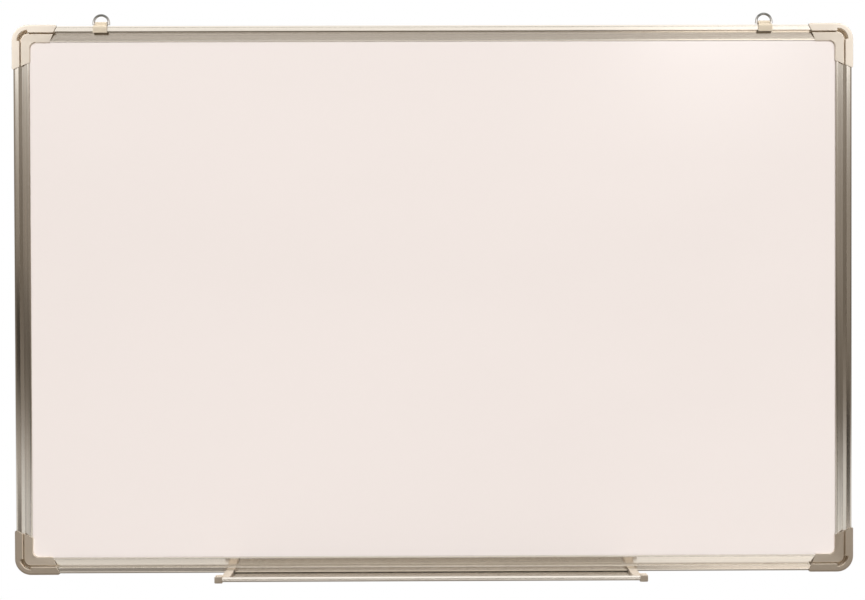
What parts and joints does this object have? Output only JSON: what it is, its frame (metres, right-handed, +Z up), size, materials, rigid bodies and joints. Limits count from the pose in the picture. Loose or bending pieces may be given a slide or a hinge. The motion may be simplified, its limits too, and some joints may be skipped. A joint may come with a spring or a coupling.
{
  "type": "whiteboard",
  "caption": "Wall whiteboard: a steel faced panel in an aluminium frame with moulded corner caps, wire hanging rings on sliding clips and a sliding pen tray.",
  "frame": {"origin": "middle of the wall plane, which the rear faces of the corner caps touch", "axes": "+X to the viewer's right along the board's width, +Z up, -Y out of the writing face, so +Y points into the wall"},
  "size_m": [0.9026, 0.0556, 0.6045],
  "materials": {
    "lacquer": "glossy white dry-erase lacquer on steel",
    "core": "pressed fibre and paper core",
    "zinc": "zinc coated sheet with a faint spangle",
    "aluminium": "satin anodised extrusion, drawn lengthwise",
    "beige_plastic": "fine moulded texture",
    "plated_steel": "zinc plated",
    "ring_steel": "nickel plated wire"
  },
  "bodies": {
    "board": {"writing_sheet": "lacquer", "core_board": "core", "back_sheet": "zinc", "top_rail": "aluminium", "right_rail": "aluminium", "bottom_rail": "aluminium", "left_rail": "aluminium", "corner_cap_top_right": "beige_plastic", "corner_cap_bottom_right": "beige_plastic", "corner_cap_bottom_left": "beige_plastic", "corner_cap_top_left": "beige_plastic", "corner_key_top_right": "plated_steel", "corner_key_bottom_right": "plated_steel", "corner_key_bottom_left": "plated_steel", "corner_key_top_left": "plated_steel", "corner_screws": "plated_steel"},
    "left_clip": {"hanger_clip_left": "beige_plastic"},
    "right_clip": {"hanger_clip_right": "beige_plastic"},
    "left_ring": {"hanger_ring_left": "ring_steel"},
    "right_ring": {"hanger_ring_right": "ring_steel"},
    "tray": {"pen_tray": "aluminium", "tray_end_left": "beige_plastic", "tray_end_right": "beige_plastic"}
  },
  "joints": [
    {"name": "left_hanger_slide", "type": "slide", "parent": "board", "child": "left_clip", "axis": [1, 0, 0], "range_m": [-0.036, 0.341]},
    {"name": "right_hanger_slide", "type": "slide", "parent": "board", "child": "right_clip", "axis": [1, 0, 0], "range_m": [-0.341, 0.036]},
    {"name": "left_ring_swing", "type": "hinge", "parent": "left_clip", "child": "left_ring", "pos_m": [-0.3565, -0.0101, 0.29705], "axis": [1, 0, 0], "range_deg": [-90, 90]},
    {"name": "right_ring_swing", "type": "hinge", "parent": "right_clip", "child": "right_ring", "pos_m": [0.3565, -0.0101, 0.29705], "axis": [1, 0, 0], "range_deg": [-90, 90]},
    {"name": "tray_slide", "type": "slide", "parent": "board", "child": "tray", "axis": [1, 0, 0], "range_m": [-0.178, 0.185]}
  ]
}
